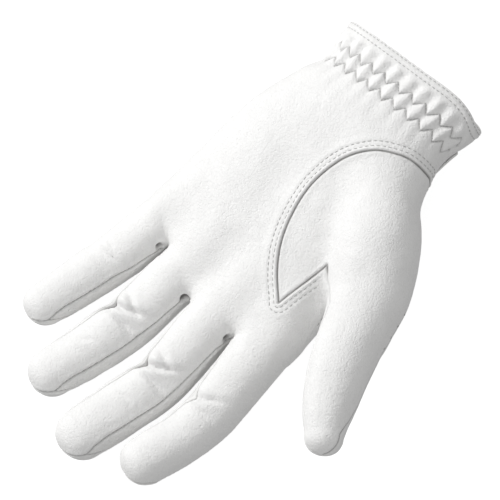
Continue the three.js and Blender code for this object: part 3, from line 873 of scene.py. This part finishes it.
def level_lines(points, normals, triangles, field, level):
    """Lines where a field crosses a level on the triangles, as lists of points and normals."""
    value = field - level
    value = np.where(np.abs(value) < 1e-6, 1e-6, value)
    positive = value[triangles] > 0
    crossing = (positive.sum(axis=1) % 3) != 0
    triangles, positive = triangles[crossing], positive[crossing]
    lone = np.where(positive.sum(axis=1) == 1, positive.argmax(axis=1), (~positive).argmax(axis=1))
    turned = turned_to(triangles, lone)
    keys, inverse = unique_edges(np.vstack([turned[:, [0, 1]], turned[:, [0, 2]]]))
    a, b = keys.T
    t = (value[a] / (value[a] - value[b]))[:, None]
    at = points[a] * (1 - t) + points[b] * t
    out = normals[a] * (1 - t) + normals[b] * t
    links = {}
    for p, q in inverse.reshape(2, -1).T.tolist():
        links.setdefault(p, []).append(q)
        links.setdefault(q, []).append(p)
    lines, seen = [], set()
    ends = sorted(p for p in links if len(links[p]) == 1)
    for start in ends + sorted(links):
        chain, onward = [], [start]
        while onward and onward[0] not in seen:
            chain.append(onward[0])
            seen.add(onward[0])
            onward = [q for q in links[chain[-1]] if q not in seen]
        if len(chain) > 4:
            lines.append((at[chain], out[chain]))
    return lines


# Rings of a stitch: place along it, size and rise, as parts of its length, radius and radius.
STITCH_RINGS = ((0.0, 0.35, -0.45), (0.12, 0.85, 0.1), (0.5, 1.0, 0.45), (0.88, 0.85, 0.1),
                (1.0, 0.35, -0.45))
STITCH_SIDES = 6


def stitch_faces():
    """Triangles that join one stitch's rings, and a fan over each end."""
    faces = []
    last = (len(STITCH_RINGS) - 1) * STITCH_SIDES
    for low in range(0, last, STITCH_SIDES):
        for side in range(STITCH_SIDES):
            p, q = low + side, low + (side + 1) % STITCH_SIDES
            faces += [(p, q, q + STITCH_SIDES), (p, q + STITCH_SIDES, p + STITCH_SIDES)]
    for side in range(1, STITCH_SIDES - 1):
        faces += [(0, side + 1, side), (last, last + side, last + side + 1)]
    return np.array(faces)


def stitches(lines, pitch, length, height=0.0, radius=THREAD / 2):
    """Short arched threads along the lines, each as one array of its rings of vertices."""
    made = []
    turns = np.linspace(0, 2 * np.pi, STITCH_SIDES, endpoint=False)
    for at, out in lines:
        run = np.concatenate([[0], np.cumsum(np.linalg.norm(np.diff(at, axis=0), axis=1))])
        number = int(run[-1] / pitch)
        for i in range(number):
            start = (i + 0.5) * run[-1] / number - length / 2
            places = np.clip([start + ring[0] * length for ring in STITCH_RINGS], 0, run[-1])
            path = np.stack([np.interp(places, run, at[:, k]) for k in range(3)], axis=1)
            up = np.array([np.interp(places[2], run, out[:, k]) for k in range(3)])
            up /= np.linalg.norm(up)
            along = path[-1] - path[0]
            size = np.linalg.norm(along)
            if size < length * 0.5:
                continue
            across = np.cross(up, along / size)
            circle = np.cos(turns)[:, None] * across + np.sin(turns)[:, None] * up
            made.append(np.vstack([centre + up * (height + rise * radius) + wide * radius * circle
                                   for (_, wide, rise), centre in zip(STITCH_RINGS, path)]))
    return made


# ------------------------------------------------------------------ Materials

class Nodes:
    """A material with helpers for its nodes."""

    def __init__(self, name, sheen=0.0, specular=0.4):
        self.material = bpy.data.materials.new(name)
        self.material.use_nodes = True
        self.tree = self.material.node_tree
        self.shader = self.tree.nodes["Principled BSDF"]
        self.shader.inputs["Sheen Weight"].default_value = sheen
        self.shader.inputs["Specular IOR Level"].default_value = specular
        self.place = self.tree.nodes.new("ShaderNodeTexCoord").outputs["Object"]

    def node(self, kind, inputs=None, **settings):
        made = self.tree.nodes.new(kind)
        for key, value in settings.items():
            setattr(made, key, value)
        for key, value in (inputs or {}).items():
            if isinstance(value, bpy.types.NodeSocket):
                self.tree.links.new(value, made.inputs[key])
            else:
                made.inputs[key].default_value = value
        return made

    def noise(self, scale, detail=3.0, roughness=0.5):
        return self.node("ShaderNodeTexNoise", {
            "Vector": self.place, "Scale": scale, "Detail": detail, "Roughness": roughness}).outputs["Fac"]

    def cells(self, scale):
        return self.node("ShaderNodeTexVoronoi", {"Vector": self.place, "Scale": scale}).outputs["Distance"]

    def wave(self, scale, distortion, direction):
        return self.node("ShaderNodeTexWave", {"Vector": self.place, "Scale": scale, "Distortion": distortion},
                         bands_direction=direction).outputs["Fac"]

    def math(self, operation, a, b=0.0, c=0.0):
        return self.node("ShaderNodeMath", {0: a, 1: b, 2: c}, operation=operation).outputs[0]

    def ramp(self, value, low, high, start, end):
        return self.node("ShaderNodeMapRange", {
            "Value": value, "From Min": low, "From Max": high, "To Min": start, "To Max": end}).outputs[0]

    def mix(self, share, a, b):
        made = self.node("ShaderNodeMix", {0: share}, data_type="RGBA")
        for socket, value in ((made.inputs[6], a), (made.inputs[7], b)):
            if isinstance(value, bpy.types.NodeSocket):
                self.tree.links.new(value, socket)
            else:
                socket.default_value = (*value, 1)
        return made.outputs[2]

    def bump(self, height, distance, strength=1.0, below=None):
        inputs = {"Height": height, "Distance": distance, "Strength": strength}
        if below is not None:
            inputs["Normal"] = below
        return self.node("ShaderNodeBump", inputs).outputs["Normal"]

    def finish(self, colour, normal, roughness):
        for key, value in (("Base Color", colour), ("Normal", normal), ("Roughness", roughness)):
            self.tree.links.new(value, self.shader.inputs[key])
        return self.material


LEATHER_WHITES = {
    "palm_leather": (0.84, 0.837, 0.83), "back_leather": (0.84, 0.835, 0.825),
    "thumb_leather": (0.84, 0.837, 0.83), "fourchette_leather": (0.82, 0.817, 0.808),
    "hem_leather": (0.81, 0.805, 0.79), "tab_leather": (0.835, 0.83, 0.82),
}
# Colour of the painted shade in seams, holes and folds.
LEATHER_SHADOW = (0.16, 0.155, 0.15)


def leather_material(name, white):
    """Smooth glove leather: fine pores and wrinkles, cloudy tone, and painted shade from the shade attribute
    where it turns into a seam, a hole or a fold.
    """
    made = Nodes(name, sheen=0.08, specular=0.35)
    cloud = made.noise(70, 4.0, 0.6)
    speck = made.noise(900, 2.0)
    tone = made.mix(made.ramp(cloud, 0.35, 0.7, 0, 1), white, tuple(v * 0.955 for v in white))
    tone = made.mix(made.ramp(speck, 0.5, 0.8, 0, 0.5), tone, tuple(v * 0.93 for v in white))
    # Painted shade: the shade attribute mixes the leather's tone towards LEATHER_SHADOW.
    shade = made.node("ShaderNodeAttribute", attribute_name="shade").outputs["Fac"]
    tone = made.mix(made.ramp(shade, 0, 1, 0, 0.9), tone, LEATHER_SHADOW)
    pores = made.cells(1100)
    wrinkles = made.noise(760, 4.0, 0.6)
    grain = made.math("MULTIPLY_ADD", made.ramp(pores, 0.0, 0.6, 0.0, 1.0), 0.45, wrinkles)
    normal = made.bump(grain, 0.0003, 1.0)
    soft = made.noise(260, 3.0)
    normal = made.bump(soft, 0.0006, 0.3, normal)
    return made.finish(tone, normal, made.ramp(cloud, 0.3, 0.75, 0.50, 0.62))


def thread_material():
    made = Nodes("thread", sheen=0.2)
    twist = made.wave(900.0, 1.5, "DIAGONAL")
    tone = made.mix(twist, (0.36, 0.36, 0.35), (0.60, 0.60, 0.59))
    return made.finish(tone, made.bump(twist, 0.00008, 0.8), made.ramp(twist, 0, 1, 0.6, 0.75))


def elastic_material():
    made = Nodes("elastic")
    weave = made.math("MULTIPLY", made.wave(320.0, 0.6, "Y"), made.wave(420.0, 0.8, "X"))
    tone = made.mix(weave, (0.70, 0.70, 0.68), (0.88, 0.88, 0.86))
    return made.finish(tone, made.bump(weave, 0.00025), made.ramp(weave, 0, 1, 0.85, 0.7))


def pile_material():
    made = Nodes("loop_pile", sheen=0.3)
    loops = made.cells(1300)
    fuzz = made.noise(2600, 4.0, 0.7)
    height = made.math("MULTIPLY_ADD", fuzz, 0.5, loops)
    tone = made.mix(made.ramp(height, 0.3, 0.9, 0, 1), (0.82, 0.82, 0.80), (0.66, 0.66, 0.64))
    return made.finish(tone, made.bump(height, 0.0004), made.ramp(fuzz, 0, 1, 0.9, 1.0))


def hook_material():
    made = Nodes("hook_tape")
    hooks = made.cells(850)
    rows = made.wave(300.0, 0.0, "Y")
    height = made.math("MULTIPLY_ADD", rows, 0.3, made.ramp(hooks, 0, 0.35, 1, 0))
    tone = made.mix(made.ramp(height, 0.1, 1.0, 0, 1), (0.70, 0.70, 0.69), (0.86, 0.86, 0.85))
    return made.finish(tone, made.bump(height, 0.0004), made.ramp(hooks, 0, 1, 0.5, 0.7))


materials = {name: leather_material(name, white) for name, white in LEATHER_WHITES.items()}
materials.update(thread=thread_material(), elastic=elastic_material(), loop_pile=pile_material(),
                 hook_tape=hook_material())


# ------------------------------------------------------------------ Bodies

REACH_PAST_BASE = 6.0      # reach past a finger's base joint, for its lower pieces
REACH_AT_MIDDLE = 8.0      # reach either side of the middle joint
REACH_AT_THUMB = (10.0, 8.0)      # reach before and after the thumb's joint


def attach(obj, body):
    """Makes a piece of the hand or the closure tab ride on its body; for a piece of a finger or the thumb's tip
    it works out the joint's place and reach, and only bakes its transform.
    """
    name, _, half = body.partition("_")
    if body in ("hand", "closure_tab"):
        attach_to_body(obj, body)
        return
    if body == "thumb_tip":
        parent, place, before, after = "hand", THUMB_JOINT, *REACH_AT_THUMB
    elif half == "upper":
        parent, place, before, after = f"{name}_lower", MIDDLE, REACH_AT_MIDDLE, REACH_AT_MIDDLE
    else:
        start_centre, start_tangent = digits[name].frame_at(START[name])
        to_base = (digits[name].frame_at(BASE)[0] - start_centre) @ start_tangent
        parent, place, before, after = "hand", START[name], 0.0, to_base + REACH_PAST_BASE
    centre, tangent = digits[name].frame_at(place)
    centre = centre + CENTRE_SHIFT
    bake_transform(obj)


def place_piece(obj, slot, body, node=None, material=None):
    """Gives a piece its finish and hides the CAD node that it stands for; a piece of the hand or the closure
    tab also rides on its body.
    """
    obj.data.materials.append(materials[material or slot])
    if node:
        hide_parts(node)
    attach(obj, body)


def body_of(piece):
    """The body that a piece of leather belongs to."""
    first, second = piece.split("_")[:2]
    if first in FINGERS or piece.startswith("thumb_tip"):
        return f"{first}_{second}"
    return "hand"


def slot_of(piece):
    """The finish slot of a piece of leather."""
    if piece.endswith("fourchette"):
        return "fourchette_leather"
    if piece.startswith("thumb"):
        return "thumb_leather"
    return "palm_leather" if piece.endswith("palm") or piece == "palm_panel" else "back_leather"


# ------------------------------------------------------------------ The leather

def build_surface():
    """The glove's surface, open at the cuff and the slit, and divided into its pieces."""
    places, triangles, normals = glove_surface()
    columns = {"place": places, "normal": normals}
    columns.update(all_fields(places))
    surface = Surface(columns, triangles)
    surface.keep(surface.cut("mouth"))
    surface.keep(~surface.cut("slit"))
    divide(surface)
    refine(surface, fine_zone(surface.columns, surface.columns["place"]))
    return surface


surface = build_surface()
place = surface.columns["place"]
fields = all_fields(place)
relief = leather_relief(place, fields)
leather_points = place + unit(surface.columns["normal"]) * relief[:, None]
leather_normals = vertex_normals(leather_points, surface.triangles)


def seam_shade():
    """How much painted shade each point gets: the bottoms of the seams, thread holes, web pits, zigzag grooves
    and a pinched fold are darkened as if in shadow.
    """
    on_finger, panel, side, open_seam = visible_seams(fields)
    # Painted shade in the bottoms of the finger seams, in ticks at the thread's pitch, and in the panel, side
    # and thumb seams.
    tick = 0.62 + 0.1 * np.sin(2 * np.pi * fields["along"] / SEAM_TICK)
    shade = np.where(on_finger, tick * bell(fields["seam"], 0.36), 0)
    shade += 0.8 * bell(panel, 0.42) * (0.35 + 0.65 * open_seam)
    shade += 0.7 * bell(side, 0.42) + 0.7 * bell(fields["thumb_outer_seam"], 0.4)
    # Painted shadow on the fourchette of the middle and ring fingers, in the wedge beside the pinch at the
    # middle joint.
    pinched = (fields["finger"] > 0) & (fields["finger"] < 3) & (fields["palm_ulnar"] < 0)
    shade += np.where(pinched, 0.75 * bell(fields["along"] - 1.0, 6.5) * bell(fields["round"] + 8.0, 5.0), 0)
    # Painted shade inside the pits where the finger seams meet.
    for centre in web_holes:
        shade += 1.5 * hole(place, centre, 1.3)
    # Painted shade in the grooves of the two zigzag rows over the elastic.
    run, turn = wrist_place(place)
    for number, row in enumerate(ZIGZAG_ROWS):
        away = (fields["cuff"] - row - zigzag_offset(run, number)) / 1.5
        shade += np.where((np.abs(turn) < 1.55) & (place[:, 1] < WRIST_TOP), 0.32 * bell(away, 0.4), 0)
    return np.clip(shade, 0, 1)


shade = seam_shade()
regions = pieces_of(surface)
for piece, chosen in regions.items():
    shell = leather_shell(piece + "_leather", leather_points, leather_normals, surface.triangles[chosen],
                          0.0, -LEATHER, shade)
    place_piece(shell, slot_of(piece), body_of(piece), piece)


# ------------------------------------------------------------------ Cuff linings, slit binding and closure

mouth = fields["mouth"]
hand_region = regions["palm_panel"] | regions["back_panel"] | regions["thumb_panel"]


def triangles_where(region, *limits):
    """Triangles of a region on which every limit is positive at all three corners."""
    inside = np.minimum.reduce(limits)[surface.triangles].min(axis=1) > 0
    return surface.triangles[region & inside]


def add_lining(name, slot, node, *limits):
    """A layer inside the cuff, where every limit is positive."""
    lining = leather_shell(name, leather_points, leather_normals, triangles_where(hand_region, *limits),
                           -LEATHER - 0.1, -2 * LEATHER)
    place_piece(lining, slot, "hand", node)


add_lining("cuff_hem_lining", "hem_leather", "cuff_hem", mouth - 0.3, HEM_WIDTH - mouth, -fields["slit"] - 0.2)
add_lining("elastic_band_weave", "elastic", "elastic_band", mouth - HEM_WIDTH - 0.6, BAND_EDGE - mouth,
           place[:, 2] - BAND_LOW, place[:, 0] - BAND_START, BAND_END - place[:, 0])


def flat_layer(name, inside, faces, slot, body, node, row=0.0, row_depth=0.0, waves=0.0):
    """A layer over or under the back of the hand, cut to an outline from the smooth surface.

    Its outer face rolls down at the edge, may be a little wavy, and may have a sunk row of stitches.
    Returns what the row needs: points, normals, triangles and each point's distance from the edge.
    """
    inner, outer = faces
    layer = Surface({key: surface.columns[key] for key in ("place", "normal")}, surface.triangles)
    layer.keep(place[layer.triangles].mean(axis=1)[:, 2] < BACK_TOP + 8)
    layer.columns["inside"] = inside(place)
    layer.keep(layer.cut("inside"))
    at, out = layer.columns["place"], unit(layer.columns["normal"])
    edge = np.clip(inside(at), 0, None)
    roll = np.sqrt(np.clip(1 - (1 - np.clip(edge / 0.7, 0, 1)) ** 2, 0, 1))
    face = outer - row_depth * bell(edge - row, 0.6)
    if waves:
        face = face + waves * noise(at, 9.0, 21)
    middle = (face + inner) / 2
    moved = at + out * (middle + (face - middle) * roll)[:, None]
    moved[:, 2] = np.maximum(moved[:, 2], 0.02)
    normals = vertex_normals(moved, layer.triangles)
    thick = np.maximum(((moved - at) * out).sum(axis=1) - inner, 0.25)
    place_piece(leather_shell(name, moved, normals, layer.triangles, 0.0, -thick), slot, body, node)
    return moved, normals, layer.triangles, edge


def box_inside(at, start, end, low, high, corner):
    """An outline on the back of the hand: a rectangle with rounded corners."""
    return np.minimum(rounded_box(at[:, 0], at[:, 1], start, end, low, high, corner), BACK_TOP - at[:, 2])


def binding_inside(at):
    slit = slit_box(at[:, 0], at[:, 1])
    above = at[:, 1] - np.interp(at[:, 0], mouth_line[:, 0], mouth_line[:, 1]) - (HEM_WIDTH + 0.6)
    return np.minimum.reduce([BINDING_WIDTH + slit, -slit - 0.1, above, BACK_TOP - at[:, 2]])


def patch_inside(at):
    return box_inside(at, *PATCH)


def tab_inside(at):
    box = box_inside(at, TAB_FOLD - 30, TAB_END, TAB_LOW, TAB_HIGH, TAB_CORNER)
    return np.minimum(box, at[:, 0] - TAB_FOLD)


def anchor_inside(at):
    box = box_inside(at, TAB_FOLD - ANCHOR_WIDTH, TAB_FOLD + 20, TAB_LOW, TAB_HIGH, 1.0)
    return np.minimum(box, TAB_FOLD - 0.3 - at[:, 0])


flat_layer("slit_binding_leather", binding_inside, BINDING_FACES, "hem_leather", "hand", "slit_binding")
flat_layer("loop_patch_pile", patch_inside, PILE_FACES, "loop_pile", "hand", "loop_patch")
flat_layer("hook_patch_tape", patch_inside, HOOK_FACES, "hook_tape", "closure_tab", "hook_patch")
tab = flat_layer("closure_tab_leather", tab_inside, TAB_FACES, "tab_leather", "closure_tab", "closure_tab",
                 TAB_ROW, row_depth=0.25, waves=0.12)
anchor = flat_layer("tab_anchor_leather", anchor_inside, ANCHOR_FACES, "tab_leather", "hand", "tab_anchor",
                    ANCHOR_ROW, row_depth=0.2)


# ------------------------------------------------------------------ Stitches

def sew(name, made, slot, body="hand"):
    """Makes one piece of thread of all the given stitches."""
    faces = stitch_faces()
    count = len(STITCH_RINGS) * STITCH_SIDES
    triangles = np.vstack([faces + i * count for i in range(len(made))])
    place_piece(new_object(name, np.vstack(made), triangles), slot, body, material="thread")


def field_lines(values, level, region, *limits):
    """Lines on the leather where a field has a value, within a region and its limits."""
    return level_lines(leather_points, leather_normals, triangles_where(region, *limits), values, level)


panel_limits = (place[:, 2] - 16, mouth - 1.5, fields["hidden"] - 4.5)
panel_stitches = []
for row in PANEL_ROWS:
    lines = field_lines(fields["panel"], -row, regions["palm_panel"], *panel_limits)
    panel_stitches += stitches(lines, *PANEL_STITCH, height=-0.02)
sew("panel_stitches", panel_stitches, "palm_leather")

hem_stitches = []
for row in HEM_ROWS:
    lines = field_lines(mouth, row, hand_region, -fields["slit"] - 1)
    hem_stitches += stitches(lines, *HEM_STITCH, height=-0.03)
sew("hem_stitches", hem_stitches, "hem_leather")

thumb_lines = field_lines(fields["thumb_outer"], 1.5, regions["thumb_panel"],
                          fields["thumb_place"] - 0.40, 0.66 - fields["thumb_place"])
sew("thumb_stitches", stitches(thumb_lines, *THUMB_STITCH, height=-0.05, radius=0.34), "thumb_leather")

wrist_run, wrist_turn = wrist_place(place)
zigzag_limits = (math.radians(89) - np.abs(wrist_turn), 30 - fields["cuff"], mouth - 6, WRIST_TOP - place[:, 1])
zigzag_stitches = []
for number, row in enumerate(ZIGZAG_ROWS):
    away = fields["cuff"] - row - zigzag_offset(wrist_run, number)
    lines = field_lines(away, 0.0, hand_region, *zigzag_limits)
    zigzag_stitches += stitches(lines, *ZIGZAG_STITCH, radius=0.45 * THREAD)
sew("zigzag_stitches", zigzag_stitches, "palm_leather")

binding_lines = field_lines(fields["slit"], -BINDING_ROW, regions["back_panel"], BACK_TOP - place[:, 2])
sew("slit_stitches", stitches(binding_lines, *EDGE_STITCH), "back_leather")

for name, layer, row, body in (("tab_stitches", tab, TAB_ROW, "closure_tab"),
                               ("anchor_stitches", anchor, ANCHOR_ROW, "hand")):
    sew(name, stitches(level_lines(*layer, row), *EDGE_STITCH, height=-0.02), "tab_leather", body)


# ------------------------------------------------------------------ Stage, lights and camera

VIEW_AIM = np.array([24.7, -3.5, 17.5]) * MM
TOWARD_CAMERA = np.array([-0.3746, 0.0, 0.9272])      # 22 degrees towards the thumb
# The picture's right, turned so that the fingers point down to the left.
VIEW_RIGHT = -0.643 * np.array([0.9272, 0.0, 0.3746]) + np.array([0, -0.766, 0])
VIEW_DISTANCE = 2.0       # metres
VIEW_WIDTH = 0.2122       # how much of the scene's width fits in the picture
SENSOR = 36.0


def build_camera():
    """Returns the directions to the view's right, to its top and back to the camera."""
    back = TOWARD_CAMERA / np.linalg.norm(TOWARD_CAMERA)
    up = np.cross(back, VIEW_RIGHT)
    right = np.cross(up, back)
    columns = [axis / np.linalg.norm(axis) for axis in (right, up, back)]
    columns.append(VIEW_AIM + back * VIEW_DISTANCE)
    data = bpy.data.cameras.new("camera")
    data.sensor_width = SENSOR
    data.lens = SENSOR * VIEW_DISTANCE / VIEW_WIDTH
    camera = bpy.data.objects.new("camera", data)
    bpy.context.collection.objects.link(camera)
    camera.matrix_world = Matrix([*np.stack(columns, axis=1).tolist(), [0, 0, 0, 1]])
    bpy.context.scene.camera = camera
    return right, up, back


def add_light(name, direction, distance, size, energy):
    """A round area light that faces the glove from the given direction."""
    data = bpy.data.lights.new(name, "AREA")
    data.shape = "DISK"
    data.size = size
    data.energy = energy
    light = bpy.data.objects.new(name, data)
    bpy.context.collection.objects.link(light)
    direction = Vector(direction).normalized()
    light.location = Vector(VIEW_AIM) + direction * distance
    light.rotation_euler = direction.to_track_quat("Z", "Y").to_euler()


def build_world(lit, unlit, key_direction):
    """Soft light from all round, brighter on the key light's side."""
    world = bpy.data.worlds.new("studio")
    bpy.context.scene.world = world
    world.use_nodes = True
    tree = world.node_tree
    direction = tree.nodes.new("ShaderNodeTexCoord").outputs["Generated"]
    aim = tree.nodes.new("ShaderNodeVectorMath")
    aim.operation = "DOT_PRODUCT"
    aim.inputs[1].default_value = Vector(key_direction).normalized()
    tree.links.new(direction, aim.inputs[0])
    level = tree.nodes.new("ShaderNodeMapRange")
    level.interpolation_type = "SMOOTHSTEP"
    for key, value in (("From Min", -0.9), ("From Max", 0.9), ("To Min", unlit), ("To Max", lit)):
        level.inputs[key].default_value = value
    tree.links.new(aim.outputs["Value"], level.inputs["Value"])
    background = tree.nodes["Background"]
    background.inputs["Color"].default_value = (1, 1, 1, 1)
    tree.links.new(level.outputs["Result"], background.inputs["Strength"])


def build_floor():
    """A pale floor just under the glove. From below it can be seen through."""
    mesh = bpy.data.meshes.new("floor")
    reach = 3.0
    corners = [(-reach, -reach, 0), (reach, -reach, 0), (reach, reach, 0), (-reach, reach, 0)]
    mesh.from_pydata(corners, [], [(0, 1, 2, 3)])
    floor = bpy.data.objects.new("floor", mesh)
    floor.location.z = -0.0002
    bpy.context.collection.objects.link(floor)
    material = bpy.data.materials.new("floor")
    material.use_nodes = True
    tree = material.node_tree
    shader = tree.nodes["Principled BSDF"]
    for key, value in (("Base Color", (0.32, 0.32, 0.32, 1)), ("Emission Color", (1, 1, 1, 1)),
                       ("Emission Strength", 0.86), ("Roughness", 0.9), ("Specular IOR Level", 0.1)):
        shader.inputs[key].default_value = value
    clear = tree.nodes.new("ShaderNodeBsdfTransparent")
    facing = tree.nodes.new("ShaderNodeNewGeometry")
    both = tree.nodes.new("ShaderNodeMixShader")
    tree.links.new(facing.outputs["Backfacing"], both.inputs["Fac"])
    tree.links.new(shader.outputs[0], both.inputs[1])
    tree.links.new(clear.outputs[0], both.inputs[2])
    tree.links.new(both.outputs[0], tree.nodes["Material Output"].inputs["Surface"])
    mesh.materials.append(material)
    floor.visible_diffuse = False
    floor.visible_glossy = False


view_right, view_up, view_back = build_camera()
key_direction = -0.85 * view_right + 0.72 * view_up + 0.42 * view_back
build_world(lit=0.60, unlit=0.46, key_direction=key_direction)
build_floor()
add_light("key", key_direction, distance=1.4, size=0.6, energy=13.4)
add_light("front", view_back - 0.2 * view_right, distance=1.5, size=1.0, energy=1.2)

scene = bpy.context.scene
scene.view_settings.view_transform = "Standard"
scene.view_settings.look = "None"
scene.view_settings.exposure = 0.0
